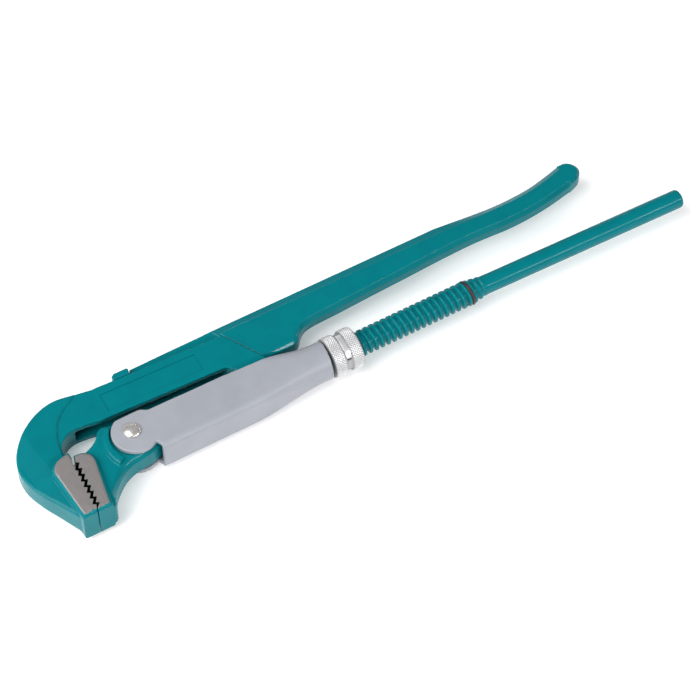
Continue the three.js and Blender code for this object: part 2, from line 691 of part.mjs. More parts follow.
handle = handle
  .add(slab(stopOutline, -STOP_HALF, STOP_HALF))
  .subtract(slab(circle(PIVOT_X, HOOK_PIN_Y, PIN_R + PIN_GAP, 20), -20, 20))
  .subtract(slab(circle(PIVOT_X, ROD_PIN_Y, PIN_R + PIN_GAP, 20), -20, 20));

// ---- pins
const hookPin = slab(circle(PIVOT_X, HOOK_PIN_Y, PIN_R, 20), -CHEEK_HALF, CHEEK_HALF)
  .intersect(sleeveRoom);
const rodPin = slab(circle(PIVOT_X, ROD_PIN_Y, PIN_R, 20), -FORK_HALF, FORK_HALF)
  .intersect(sleeveRoom);

const pieces = [
  ["hook_jaw", hook, TEAL, 0.32, 0.0],
  ["upper_handle", handle, TEAL, 0.32, 0.0],
  ["hook_pin", hookPin, STEEL, 0.35, 1.0],
  ["rod_pin", rodPin, STEEL, 0.35, 1.0],
  ["threaded_rod", rod, TEAL, 0.34, 0.0],
  ["sleeve", sleeve, SLEEVE_GREY, 0.45, 0.1],
  ["jaw_rivet", rivet, STEEL, 0.2, 1.0],
  ["short_jaw", jaw, TEAL, 0.32, 0.0],
  ["adjusting_nut", nut, ZINC, 0.3, 1.0],
  ["nut_clip", clip, ZINC, 0.25, 1.0],
  ["stop_ring", ring, RING_BROWN, 0.5, 0.6],
];

const wrench = new THREE.Group();
for (const [name, made, color, roughness, metalness] of pieces) {
  const mesh = made.getMesh();
  const g = new THREE.BufferGeometry();
  g.setAttribute("position", new THREE.Float32BufferAttribute(mesh.vertProperties, 3));
  g.setIndex(new THREE.Uint32BufferAttribute(mesh.triVerts, 1));
  g.computeVertexNormals();
  const node = new THREE.Mesh(
    g,
    new THREE.MeshStandardMaterial({ color, roughness, metalness }),
  );
  node.name = name;
  wrench.add(node);
}

// The part's own frame: the middle of the lowest face of the box round it, as it lies on its side.
const bounds = new THREE.Box3().setFromObject(wrench);
const middle = bounds.getCenter(new THREE.Vector3());
for (const node of wrench.children) {
  node.geometry.translate(-middle.x, -middle.y, -bounds.min.z);
}

export default wrench;
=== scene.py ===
# %% [markdown]
# # A right-angled pipe wrench
# This file dresses a pipe wrench that lies on its side on a pale floor. Its moving bodies come from
# a fixed frame: a forked hook jaw, a handle that pulls it, a threaded rod, a folded sleeve that
# carries a small rocking jaw, and a knurled nut that pushes the sleeve along the rod.
# Each piece is built again here with the rounded edges, knurling and paint of the real one, and then
# rides on the body that it belongs to.

import math

import bmesh
import bpy
from mathutils import Matrix, Vector


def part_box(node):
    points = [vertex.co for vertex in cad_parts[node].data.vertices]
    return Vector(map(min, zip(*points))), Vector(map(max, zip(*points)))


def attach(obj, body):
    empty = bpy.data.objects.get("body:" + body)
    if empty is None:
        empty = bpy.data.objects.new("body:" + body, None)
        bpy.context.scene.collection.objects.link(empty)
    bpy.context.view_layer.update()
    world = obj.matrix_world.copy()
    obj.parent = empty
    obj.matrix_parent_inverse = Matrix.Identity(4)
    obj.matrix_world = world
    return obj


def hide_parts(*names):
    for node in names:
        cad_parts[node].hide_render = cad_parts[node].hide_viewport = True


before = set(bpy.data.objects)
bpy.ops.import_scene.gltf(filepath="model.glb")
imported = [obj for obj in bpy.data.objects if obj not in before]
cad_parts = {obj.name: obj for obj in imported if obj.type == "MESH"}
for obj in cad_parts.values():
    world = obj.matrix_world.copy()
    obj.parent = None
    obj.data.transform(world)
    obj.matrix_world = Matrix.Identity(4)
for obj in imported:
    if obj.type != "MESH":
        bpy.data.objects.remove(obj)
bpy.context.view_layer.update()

# %% [markdown]
# ## One drawing for every piece
# A tool like this is drawn in millimetres round its own landmarks. X runs along the rod, Y from the
# rod to the upper handle, Z is square to the flat, and the jaw rivet stands at X 0. The frame says
# where the rivet and the nut are, so one matrix takes the drawing into the scene.

# %% Place the drawing
rivet_low, rivet_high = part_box("jaw_rivet")
nut_low, nut_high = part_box("adjusting_nut")
ORIGIN = Vector(((rivet_low.x + rivet_high.x) / 2,
                 (nut_low.y + nut_high.y) / 2,
                 (nut_low.z + nut_high.z) / 2))
TO_SCENE = Matrix.Translation(ORIGIN) @ Matrix.Scale(0.001, 4)
print("the drawing's origin in the scene:", [round(c, 5) for c in ORIGIN])

# %% [markdown]
# ## Sizes that several pieces share
# The sleeve decides how thick everything inside it can be, and the thread decides the nut.

# %% Shared sizes
SLEEVE_HALF = 8.5
SLEEVE_WALL = 2.2
SLEEVE_END = 92.6
CHEEK_HALF = 5.8
HEAD_HALF = 6.6
PAD_HALF = 9.2
SLOT_HALF = 3.2
RIVET_Y = 3.8
RIVET_R = 2.8
RIVET_HOLE_R = RIVET_R + 0.15
PIN_R = 2.0
PIN_HOLE_R = 2.15
PIVOT_X = 63.0
ROD_PIN_Y = -1.5
HOOK_PIN_Y = 7.0
PITCH = 3.0
THREAD_R = 5.87
CORE_R = 4.4
THREAD_FROM = 90.0
THREAD_TO = 173.0
NUT_FROM = 93.1
NUT_TO = 107.0
NUT_R = 9.4
EAR = (1.0, 2.9, 10.3)


def hook_back(x):
    """Height of the hook's back, which leans slightly towards the pivot."""
    return 33.1 - 0.045 * x


print("thread turns on the rod:", round((THREAD_TO - THREAD_FROM) / PITCH, 1))

# %% [markdown]
# ## Lines and solids
# A forging starts as an outline. `curve_through` makes a smooth line through a few chosen points,
# `inset` moves an outline inwards, and `forged` stacks insets into a plate with rounded or chamfered
# edges. `prism` is the same with sharp edges, and `turned` spins a profile round the rod's axis.

# %% Lines
def unit(value):
    """The value kept between 0 and 1."""
    return min(max(value, 0), 1)


def curve_through(points, steps):
    """A smooth line that passes through every point, with the same number of steps between them."""
    out = []
    last = len(points) - 1
    for k in range(steps + 1):
        place = k / steps * last
        i = min(int(place), last - 1)
        t = place - i
        ends = [points[max(i - 1, 0)], points[i], points[i + 1], points[min(i + 2, last)]]
        xy = []
        for a, b, c, d in zip(*ends):
            xy.append(0.5 * (2 * b + (c - a) * t + (2 * a - 5 * b + 4 * c - d) * t * t
                             + (3 * b - a - 3 * c + d) * t ** 3))
        out.append(tuple(xy))
    return out


def arc(cx, cy, r, start, end, steps):
    """Points along an arc, with its angles in degrees."""
    turns = [math.radians(start + (end - start) * i / steps) for i in range(steps + 1)]
    return [(cx + r * math.cos(a), cy + r * math.sin(a)) for a in turns]


def signed_area(outline):
    pairs = zip(outline, outline[1:] + outline[:1])
    return sum(a[0] * b[1] - b[0] * a[1] for a, b in pairs) / 2


def inset(outline, depth):
    """The outline moved inwards. Sharp corners move a little further, as a mitre does."""
    sign = 1 if signed_area(outline) > 0 else -1
    moved = []
    for i, p in enumerate(outline):
        before = Vector(p) - Vector(outline[i - 1])
        after = Vector(outline[(i + 1) % len(outline)]) - Vector(p)
        if before.length < 1e-6 or after.length < 1e-6:
            moved.append(p)
            continue
        a, b = before.normalized(), after.normalized()
        normal = Vector((-(a.y + b.y), a.x + b.x))
        if normal.length < 1e-6:
            moved.append(p)
            continue
        normal.normalize()
        reach = max(0.55, normal.dot(Vector((-a.y, a.x))))
        step = normal * (sign * depth / reach)
        moved.append((p[0] + step.x, p[1] + step.y))
    return moved


print("a curve through 3 points in 4 steps:", len(curve_through([(0, 0), (1, 1), (2, 0)], 4)))

# %% [markdown]
# One helper lays a skin over rings of points. Plates, prisms and turnings are all made with it, so
# they are closed in the same way and can be joined and cut without surprises.

# %% Solids
def piece_from(name, corners, faces):
    """A new mesh object in drawing millimetres, with its faces turned outwards."""
    mesh = bpy.data.meshes.new(name)
    mesh.from_pydata([tuple(c) for c in corners], [], faces)
    shape = bmesh.new()
    shape.from_mesh(mesh)
    bmesh.ops.remove_doubles(shape, verts=shape.verts, dist=1e-4)
    bmesh.ops.recalc_face_normals(shape, faces=shape.faces)
    shape.to_mesh(mesh)
    shape.free()
    piece = bpy.data.objects.new(name, mesh)
    bpy.context.scene.collection.objects.link(piece)
    return piece


def stacked(name, rings, ends=True, around=True):
    """A skin over rings of points. Each ring has the same number of points."""
    n = len(rings[0])
    faces = []
    for k in range(len(rings) - 1):
        for j in range(n if around else n - 1):
            a, b = k * n + j, k * n + (j + 1) % n
            faces.append((a, b, b + n, a + n))
    if ends:
        faces.append(tuple(reversed(range(n))))
        faces.append(tuple((len(rings) - 1) * n + j for j in range(n)))
    return piece_from(name, [p for ring in rings for p in ring], faces)


def forged(name, outline, half, edge, steps=4):
    """A plate round Z 0. With one step its edges are chamfers, with more they are rounded."""
    levels = []
    for k in range(steps + 1):
        a = math.pi / 2 * (1 - k / steps)
        levels.append((half - edge * (1 - math.sin(a)), edge * (1 - math.cos(a))))
    stack = [(-z, depth) for z, depth in levels] + [(z, depth) for z, depth in reversed(levels)]
    rings = []
    for z, depth in stack:
        rings.append([(x, y, z) for x, y in inset(outline, depth)])
    return stacked(name, rings)


def prism(name, outline, low, high):
    return stacked(name, [[(x, y, z) for x, y in outline] for z in (low, high)])


def block(name, x0, x1, y0, y1, z0, z1):
    return prism(name, [(x0, y0), (x1, y0), (x1, y1), (x0, y1)], z0, z1)


def turned(name, profile, steps=64):
    """A solid of revolution about the rod's axis, from pairs of place along X and radius."""
    rings = []
    for x, r in profile:
        r = max(r, 1e-3)
        angles = [2 * math.pi * j / steps for j in range(steps)]
        rings.append([(x, r * math.cos(a), r * math.sin(a)) for a in angles])
    return stacked(name, rings)


test = turned("trial", [(0, 0), (0, 1), (1, 1), (1, 0)], 12)
print("a trial disc has", len(test.data.polygons), "faces")
bpy.data.objects.remove(test)

# %% [markdown]
# ## From solids to a forging
# The real jaws are hammered between dies, milled and then painted, so no edge on them is knife
# sharp. Most plates are wrapped in a fine voxel skin and then joined and cut as solids. One more skin
# wraps the result, and a little smoothing softens every edge, just as paint over steel does.

# %% Joining, cutting and skinning
def bake_modifiers(piece):
    """Replaces the piece's mesh by what its modifiers make of it."""
    graph = bpy.context.evaluated_depsgraph_get()
    made = bpy.data.meshes.new_from_object(piece.evaluated_get(graph))
    old = piece.data
    piece.modifiers.clear()
    piece.data = made
    bpy.data.meshes.remove(old)
    made.name = piece.name
    return piece


def joined(piece, others, how="UNION", solver="MANIFOLD"):
    """Adds, cuts or crosses the piece with others, which are used up."""
    for other in others:
        step = piece.modifiers.new("step", "BOOLEAN")
        step.operation = how
        step.solver = solver
        step.object = other
        bake_modifiers(piece)
        bpy.data.objects.remove(other)
    return piece


def cut(piece, cutters):
    return joined(piece, cutters, "DIFFERENCE")


def skinned(piece, voxel, rounds):
    """Wraps the piece in a fine even skin and softens its edges."""
    skin = piece.modifiers.new("skin", "REMESH")
    skin.mode = "VOXEL"
    skin.voxel_size = voxel
    skin.use_smooth_shade = True
    if rounds:
        soften = piece.modifiers.new("soften", "SMOOTH")
        soften.factor = 0.5
        soften.iterations = rounds
    return bake_modifiers(piece)


def finished(piece, body, replaced=(), angle=180.0):
    """Moves a piece from the drawing into the scene and hands it to its body."""
    piece.data.transform(TO_SCENE)
    for face in piece.data.polygons:
        face.use_smooth = True
    if angle < 180:
        piece.data.set_sharp_from_angle(angle=math.radians(angle))
    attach(piece, body)
    if replaced:
        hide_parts(*replaced)
    size = [round(d * 1000, 1) for d in piece.dimensions]
    print(piece.name, "on", body, "size in mm", size, "faces", len(piece.data.polygons))
    return piece


FINE = 0.3
print("finest skin, in mm:", FINE)

# %% [markdown]
# ## The hook jaw
# The hook is one forging: a deep curved head, a throat, and a shank that is milled thinner and
# forked, so that the handle can swing inside it. Its teeth stand on a ground pad that is prouder
# than the head. Its outline is a list of bends, because no simple curve describes a die.

# %% Hook outlines
NOSE_X = -30.85
NOSE_END = -24.9
TEETH = 8
TOOTH_PITCH = 3.13
TOOTH_REACH = 1.45
TOOTH_DROP = 0.85
BITE_LEAN = 0.073
BITE_X = -29.75
BITE_Y = 0.75


def bite(shift_x, shift_y, nose_x):
    """The saw-toothed line that both jaws share."""
    line = []
    for i in range(TEETH):
        x = BITE_X - BITE_LEAN * TOOTH_PITCH * i + shift_x
        y = BITE_Y - TOOTH_PITCH * i + shift_y
        line += [(x, y), (x + TOOTH_REACH, y - TOOTH_DROP)]
    line.append((nose_x, BITE_Y - TOOTH_PITCH * TEETH + shift_y))
    return line + [(nose_x, NOSE_END - 5)]


hook_outer = curve_through(
    [(-36.7, -24.5), (-38.9, -20.1), (-43.0, -11.6), (-46.5, -4.7), (-49.3, 3.2), (-50.0, 9.4),
     (-48.9, 15.6), (-45.6, 21.8), (-39.3, 28.5), (-30.9, 33.7), (-22.0, 35.9), (-12.4, 34.6),
     (-5.5, hook_back(-5.5))], 96)
hook_throat = curve_through(
    [(-9.0, 17.1), (-15.5, 18.2), (-22.2, 18.1), (-27.2, 15.2), (-29.4, 11.0), (-28.9, 7.0)], 40)
lug = arc(PIVOT_X, HOOK_PIN_Y, 4.2, 10, -190, 24)
hook_outline = (
    [(NOSE_X + 2, -25.4)] + hook_outer + [(56.6, hook_back(56.6)), (57.9, 30.1), (68.4, 11.0)]
    + lug + curve_through([(57.6, 8.6), (53.9, 11.4), (51.9, 14.0), (49.9, 14.8)], 12)
    + hook_throat + [(BITE_X - 2.2, 0.6), (NOSE_X + 2, -4)])
hook_pad = (
    curve_through([(-29.0, 6.6), (-31.8, 6.2), (-34.9, 5.0), (-37.0, 2.9), (-37.9, 0.2),
                   (-37.7, -2.5)], 20)
    + [(-36.4, NOSE_END - 1), (NOSE_X + 2, NOSE_END - 1), (NOSE_X + 2, 1.4), (-28.4, 2.6)])
beyond_hook = [(-24, 9.5), (-28.3, 9.5), (-28.3, 4.0)] + bite(0, 0, NOSE_X) + [(-24, NOSE_END - 5)]
print("hook outline corners:", len(hook_outline))

# %% Hook solids
def pad(name, outline):
    """A toothed pad: a flat land whose sides spread on their way down to the head."""
    rings = []
    for z, out in ((-PAD_HALF, 0), (-PAD_HALF + 0.35, 0), (-PAD_HALF + 1.4, 1.1),
                   (PAD_HALF - 1.4, 1.1), (PAD_HALF - 0.35, 0), (PAD_HALF, 0)):
        rings.append([(x, y, z) for x, y in inset(outline, -out)])
    return stacked(name, rings)


def both_sides(name, outline, inner, outer):
    return [prism(name, outline, inner, outer), prism(name, outline, -outer, -inner)]


nose_trim = [(-60, NOSE_END), (0, NOSE_END), (0, NOSE_END - 20), (-60, NOSE_END - 20)]
milled_edge = curve_through([(-30.5, 8), (-29.2, 15.5), (-26.3, 22.6), (-21.7, 28.1), (-15.3, 32.2),
                             (-9, 37)], 30)
shank_field = [(75, 40), (75, -10), (-6, -10)] + milled_edge + [(-5, 42)]
fork_end = curve_through([(-12, 27), (-18, 26.4), (-20.6, 22), (-18.5, 14)], 16)
fork_slot = [(80, -10), (80, 45), (-12, 45)] + fork_end + [(-14, 5), (30, -10)]

hook = forged("hook_jaw_forging", hook_outline, HEAD_HALF, 1.1)
hook = skinned(hook, FINE * 1.2, 0)
hook_land = skinned(pad("hook_land", hook_pad), FINE, 0)
cut(hook, both_sides("mill", shank_field, CHEEK_HALF, 20))
joined(hook, [hook_land])
cut(hook, [prism("nose", nose_trim, -20, 20),
           prism("fork", fork_slot, -SLOT_HALF, SLOT_HALF),
           prism("pin_hole", arc(PIVOT_X, HOOK_PIN_Y, PIN_HOLE_R, 0, 350, 35), -20, 20)])
skinned(hook, FINE, 3)
print("hook forging faces:", len(hook.data.polygons))

# %% [markdown]
# The die leaves a faint crease down the head: outside it the face falls away towards the rim. A
# slope that follows a curve is awkward to cut, so the points beyond the crease are pressed down
# instead, more the further out they lie. The edge between the pad's face and the nose's end face is
# rounded in the same pass.

# %% Press the head's outer face
crease = curve_through([(-36.6, -26), (-37.3, -9.4), (-37.8, 3.2), (-39.1, 14.2), (-40.5, 25.4),
                        (-42.0, 40)], 40)
FACE_FROM = 3.0
FACE_SLOPE = 0.16
FACE_FALL = 1.5
NOSE_WIDE = 1.7
NOSE_DEPTH = 1.5


def round_nose(vert):
    """Rounds the long edge between a pad's face and the nose's end face."""
    share = min((NOSE_END + NOSE_WIDE - vert.co.y) / NOSE_WIDE, 1)
    limit = PAD_HALF - NOSE_DEPTH * share ** 2.4
    if abs(vert.co.z) <= limit:
        return 0
    vert.co.z = math.copysign(limit, vert.co.z)
    return 1


def crease_x(y):
    for (x0, y0), (x1, y1) in zip(crease, crease[1:]):
        if y0 <= y <= y1:
            return x0 + (x1 - x0) * (y - y0) / (y1 - y0)
    return crease[0][0] if y < crease[0][1] else crease[-1][0]


pressed = 0
for vert in hook.data.vertices:
    x, y, z = vert.co
    beyond = crease_x(y) - x
    if beyond > 0 and abs(z) > FACE_FROM:
        fall = min(beyond * FACE_SLOPE, FACE_FALL) * (abs(z) - FACE_FROM) / (HEAD_HALF - FACE_FROM)
        vert.co.z -= math.copysign(fall, z)
        pressed += 1
    if y < NOSE_END + NOSE_WIDE:
        pressed += round_nose(vert)
print("points pressed beyond the crease:", pressed)

# %% [markdown]
# The teeth are milled and the size panel is stamped after forging, so both keep crisp edges. They
# are cut into the finished skin. The panel is left blank.

# %% Mill the hook's teeth and panel
PANEL_DEPTH = 0.35
panel = [(-3.2, 19.6), (42.0, 18.4), (42.5, 27.6), (-3.0, 28.9)]
cut(hook, [prism("teeth", beyond_hook, -20, 20)])
cut(hook, both_sides("panel", panel, CHEEK_HALF - PANEL_DEPTH, 20))
finished(hook, "hook", ["hook_jaw"], angle=38)

# %% [markdown]
# ## The short jaw
# The short jaw rocks on the rivet between the sleeve's two ears. A curved ridge runs round the ears
# and keeps chips out of the joint. The neck between the ridge and the pad is waisted, and the heel
# behind the rivet runs back into the sleeve as a rounded tongue.

# %% Short jaw solids
neck = [(-21.0, -22.0), (-18.7, -18.0), (-14.8, -14.1), (-10.4, -10.9), (-5.4, -9.0), (-1.0, -8.3),
        (3.5, -7.6), (7.2, -6.5)]
jaw_outline = (
    [(NOSE_X, -25.6), (-22.9, -25.2), (-21.6, -24.0)]
    + curve_through(neck + [
        (10.4, -5.3), (11.2, -3.8), (10.6, -1.6), (8.6, 0.4), (8.6, 5.0), (7.4, 8.3), (4.6, 11.0),
        (1.0, 12.2), (-3.5, 12.0), (-6.8, 12.3), (-9.2, 13.2), (-11.2, 13.0), (-12.9, 11.7),
        (-14.8, 9.2), (-18.2, 6.8), (-21.7, 5.4), (-24.6, 4.6), (-27.2, 4.4)], 110)
    + [(-28.2, 3.0), (NOSE_X, -4)])
jaw_pad = (
    [(NOSE_X, NOSE_END - 1), (-24.9, NOSE_END - 1)]
    + curve_through([(-20.3, -2.2), (-20.4, 0.4), (-21.4, 2.3), (-23.2, 3.6), (-25.2, 4.1),
                     (-27.4, 3.9), (-28.6, 2.6)], 24)
    + [(NOSE_X, -3)])
beyond_jaw = ([(-40, 7), (-27, 7), (-27, 3.8)] + bite(1.8, 0.3, NOSE_X + 0.45)
              + [(-40, NOSE_END - 5)])
ear_x, ear_y, ear_r = EAR
ridge_in = ear_r + 0.5
ear_ridge = (curve_through([(-9.4, 11.9), (-12.6, 7.4), (-14.0, 1.2), (-13.3, -5.0), (-10.9, -9.9)],
                           40)
             + curve_through([(-7.4, -8.6), (-9.6, -4.3), (-10.6, 1.2), (-9.6, 6.3), (-7.0, 10.2)],
                             40))
ear_clear = (arc(ear_x, ear_y, ridge_in, 82, 278, 60)
             + [(3, ear_y - ridge_in), (30, ear_y - ridge_in), (30, 20), (3, 20)])
TONGUE_HALF = SLEEVE_HALF - SLEEVE_WALL - 0.3

jaw = skinned(forged("short_jaw_forging", jaw_outline, HEAD_HALF, 1.1), FINE, 0)
ridge = skinned(forged("ridge", ear_ridge, 8.2, 1.3, steps=6), FINE, 0)
jaw_land = skinned(pad("jaw_land", jaw_pad), FINE, 0)
joined(jaw, [ridge])
cut(jaw, both_sides("ear_room", ear_clear, TONGUE_HALF, 20))
joined(jaw, [jaw_land])
cut(jaw, [prism("nose", nose_trim, -20, 20),
          prism("rivet_hole", arc(0, RIVET_Y, RIVET_HOLE_R, 0, 354, 59), -20, 20)])
skinned(jaw, FINE, 3)


def height_on(line, x):
    """The line's height at a place along X."""
    for (x0, y0), (x1, y1) in zip(line, line[1:]):
        if x0 <= x <= x1 and x1 > x0:
            return y0 + (y1 - y0) * (x - x0) / (x1 - x0)
    return None


# %% [markdown]
# The underside of the neck and heel is not a flat edge but a generous round, like a bar. Points near
# the lower line are pressed down along that round, and then the teeth are milled.

# %% Round the neck, then mill the teeth
NECK_WIDE = 4.0
NECK_DEPTH = 2.9
neck_line = curve_through(neck + [(11.4, -4.6)], 60)
rounded = 0
for vert in jaw.data.vertices:
    x, y, z = vert.co
    if y < NOSE_END + NOSE_WIDE:
        rounded += round_nose(vert)
    low = height_on(neck_line, x)
    if low is None:
        continue
    share = unit((low + NECK_WIDE - y) / NECK_WIDE)
    limit = HEAD_HALF - (NECK_DEPTH * share ** 2.2)
    if share > 0 and abs(z) > limit:
        vert.co.z = math.copysign(limit, z)
        rounded += 1
print("points pressed into the neck's round:", rounded)
cut(jaw, [prism("teeth", beyond_jaw, -20, 20)])
finished(jaw, "short_jaw", ["short_jaw"], angle=38)

# %% [markdown]
# ## The handle
# The handle is forged flat with chamfered edges. Its front end is thinned to a tongue that lies in
# the hook's fork, where both pins pass through it, and a small toe on top rests on the hook's back
# and stops the handle from opening too far.

# %% Handle solids
HANDLE_HALF = 4.4
TONGUE = SLOT_HALF - 0.25
belly = curve_through([(83.6, 11.9), (86.4, 13.3), (89.2, 16.6), (92.8, 18.9), (98.5, 19.8),
                       (110.0, 20.2)], 30)
lower = curve_through([(110.0, 20.2), (128.0, 21.2), (147.0, 22.1), (166.0, 23.1), (181.0, 23.5),
                       (191.0, 23.2), (201.5, 22.7), (212.5, 23.2), (224.0, 24.6),
                       (236.5, 27.1)], 72)
tip = curve_through([(236.5, 27.1), (242.2, 29.4), (244.6, 33.0), (243.6, 36.8), (240.6, 39.3),
                     (236.6, 39.4)], 30)
upper = curve_through([(236.6, 39.4), (226.0, 36.7), (216.0, 35.0), (203.0, 34.4), (190.0, 34.9),
                       (170.0, 36.6)], 50)
handle_outline = (
    [(6.0, 33.0), (5.6, 27.5), (7.5, 24.0), (40.0, 20.4), (50.0, 17.8), (55.5, 10.5)]
    + arc(PIVOT_X, ROD_PIN_Y, 3.9, 184, 364, 24)
    + [(68.4, 6.5), (69.4, 11.7)] + belly + lower[1:] + tip[1:] + upper[1:]
    + [(60.0, 36.7), (15.0, 36.2), (13.5, hook_back(13.5) + 0.1)])
handle = skinned(forged("handle_forging", handle_outline, HANDLE_HALF, 1.5, steps=1), FINE, 0)

rear_top, rear_low = Vector((57.6, 30.5)), Vector((68.4, 11.0))
along = (rear_low - rear_top).normalized()
away = Vector((-along.y, along.x)) * 0.9
shoulder = [tuple(rear_top - along * 20 + away), (-10, 60), (-10, -20),
            tuple(rear_low + along * 25 + away)]
cut(handle, both_sides("shoulder", shoulder, TONGUE, 20))
toe = [(6.0, hook_back(6.0) + 0.15), (13.5, hook_back(13.5) + 0.15), (14.2, 35.2), (13.5, 35.8),
       (7.8, 36.0), (6.0, 35.0)]
joined(handle, [prism("toe", toe, -CHEEK_HALF, CHEEK_HALF)])
cut(handle, [prism("hole", arc(PIVOT_X, y, PIN_HOLE_R, 0, 350, 35), -20, 20)
             for y in (HOOK_PIN_Y, ROD_PIN_Y)])
skinned(handle, FINE, 3)

# %% [markdown]
# The handle's two long edges are not alike. Its back slopes gently down from the flat, and its
# belly has a steeper, narrower chamfer. Pressing points down by how near they are to each edge
# gives both slopes. The back's grows narrower and deeper where the grip turns round.

# %% Press the handle's edges
GRIP_ROUNDS_FROM = 168
BACK_WIDE, BACK_DEPTH = 4.6, 1.7
BELLY_FROM = 86
BELLY_WIDE, BELLY_DEPTH = 1.7, 2.2
back_line = [(15.0, 36.7), (60.0, 36.7)] + upper[::-1]
belly_line = belly + lower[1:]
pressed = 0
for vert in handle.data.vertices:
    x, y, z = vert.co
    if abs(z) < 1.2 or x < 16:
        continue
    top, low = height_on(back_line, x), height_on(belly_line, x)
    limit = HANDLE_HALF
    round_tip = unit((x - GRIP_ROUNDS_FROM) / 30)
    if top is not None:
        wide = BACK_WIDE - 1.4 * round_tip
        depth = BACK_DEPTH + 0.6 * round_tip
        limit = min(limit, HANDLE_HALF - depth * unit((y - (top - wide)) / wide) ** 1.1)
    if low is not None and x > BELLY_FROM:
        limit = min(limit, HANDLE_HALF - BELLY_DEPTH * unit(((low + BELLY_WIDE) - y) / BELLY_WIDE))
    if abs(z) > limit:
        vert.co.z = math.copysign(limit, z)
        pressed += 1
print("points pressed along the handle's edges:", pressed)
finished(handle, "handle", ["upper_handle"])

# %% [markdown]
# ## The sleeve
# The sleeve is pressed from sheet: a channel at the jaw end that is rolled into a tube at the nut
# end. Rings across the rod, each part box and part circle, make its outer and inner skins. A side
# outline then trims the cheeks to their rounded ears.

# %% Sleeve skins
ROUND_FROM, ROUND_TO = 52.0, 88.0
WEB_Y = -10.1
CHEEK_TOP = 10.1
TUBE_R = 8.7


def across(x, half, low, high, corner, radius, blend, steps=96):
    """A ring across the rod: a round-cornered box at blend 0 and a circle at blend 1."""
    ring = []
    middle, tall = (low + high) / 2, (high - low) / 2
    for i in range(steps):
        a = 2 * math.pi * (i + 0.5) / steps
        c, s = math.cos(a), math.sin(a)
        box_y = middle + math.copysign(tall - corner, c) + corner * c
        box_z = math.copysign(half - corner, s) + corner * s
        ring.append((x, box_y * (1 - blend) + radius * c * blend,
                     box_z * (1 - blend) + radius * s * blend))
    return ring


outer_rings, inner_rings = [], []
places = [-14.0] + [ROUND_FROM + (ROUND_TO - ROUND_FROM) * i / 36 for i in range(37)] + [SLEEVE_END]
for x in places:
    t = unit((x - ROUND_FROM) / (ROUND_TO - ROUND_FROM))
    t = t * t * (3 - 2 * t)
    outer_rings.append(across(x, SLEEVE_HALF, WEB_Y, CHEEK_TOP + 4, 3.0, TUBE_R, t))
    inner_rings.append(across(x + (5 if x == SLEEVE_END else 0), SLEEVE_HALF - SLEEVE_WALL,
                              WEB_Y + SLEEVE_WALL, CHEEK_TOP + 8, 1.2, THREAD_R + 0.3, t))

side = ([(6.6, 12.3)] + arc(ear_x, ear_y, ear_r, 118, 305, 70)
        + [(7.2, -6.4), (8.0, -8.1), (8.0, WEB_Y - 1), (SLEEVE_END, WEB_Y - 1), (SLEEVE_END, 11),
           (85, 11), (82, 8.6)]
        + curve_through([(76, 8.62), (68, 8.75), (60, 9.0), (55, 9.2), (48, 9.6)], 20)
        + curve_through([(11.6, CHEEK_TOP), (10.4, 10.4), (8.4, 11.7)], 6))
sleeve = stacked("sleeve_pressing", outer_rings)
joined(sleeve, [prism("side", side, -20, 20)], "INTERSECT")
cut(sleeve, [stacked("inside", inner_rings),
             block("front", -20, 8.0, -20, 0, -SLEEVE_HALF + SLEEVE_WALL, SLEEVE_HALF - SLEEVE_WALL),
             prism("slanted_end", [(92.7, 5), (91.3, -12), (99, -12), (99, 5)], -20, 20),
             prism("rivet_hole", arc(0, RIVET_Y, RIVET_HOLE_R, 0, 354, 59), -20, 20)])
skinned(sleeve, FINE, 2)
finished(sleeve, "sleeve", ["sleeve"])

# %% [markdown]
# ## The jaw rivet
# A bright domed rivet holds the short jaw between the ears. It is turned, so one profile from the
# axis to the axis gives the shank and both heads.

# %% Rivet
HEAD_FROM = SLEEVE_HALF + 0.12
DOME_R = 3.9
DOME_HEIGHT = 1.68
dome = []
for i in range(17):
    a = math.pi / 2 * i / 16
    dome.append((HEAD_FROM + DOME_HEIGHT * math.sin(a), DOME_R * math.cos(a)))
half_profile = [(HEAD_FROM, RIVET_R)] + dome
rivet = turned("rivet_turning", [(-x, r) for x, r in reversed(half_profile)] + half_profile, 72)
rivet.data.transform(Matrix.Translation((0, RIVET_Y, 0)) @ Matrix.Rotation(math.radians(90), 4, "Y"))
finished(rivet, "sleeve", ["jaw_rivet"], angle=50)

# %% [markdown]
# ## The threaded rod
# The thread is rolled, with soft crests and roots, and it fades out before the plain grip. One
# strip of the tooth's profile winds along the rod. Each turn shares its last line of points with
# the next turn's first line, so the whole thread is a single even skin.

# %% Thread
TURN = 48


def tooth(s):
    """Height of the thread, from 0 at the root to 1 at the crest, at a share s of one pitch."""
    d = abs(s - 0.5)
    t = unit((0.36 - d) / 0.2)
    return t * t * (3 - 2 * t)


def fade(x):
    """How much of its full height the thread has at a place along the rod."""
    start = unit((x - THREAD_FROM) / PITCH)
    end = unit((THREAD_TO - x) / (3 * PITCH))
    return min(start, end ** 0.8)


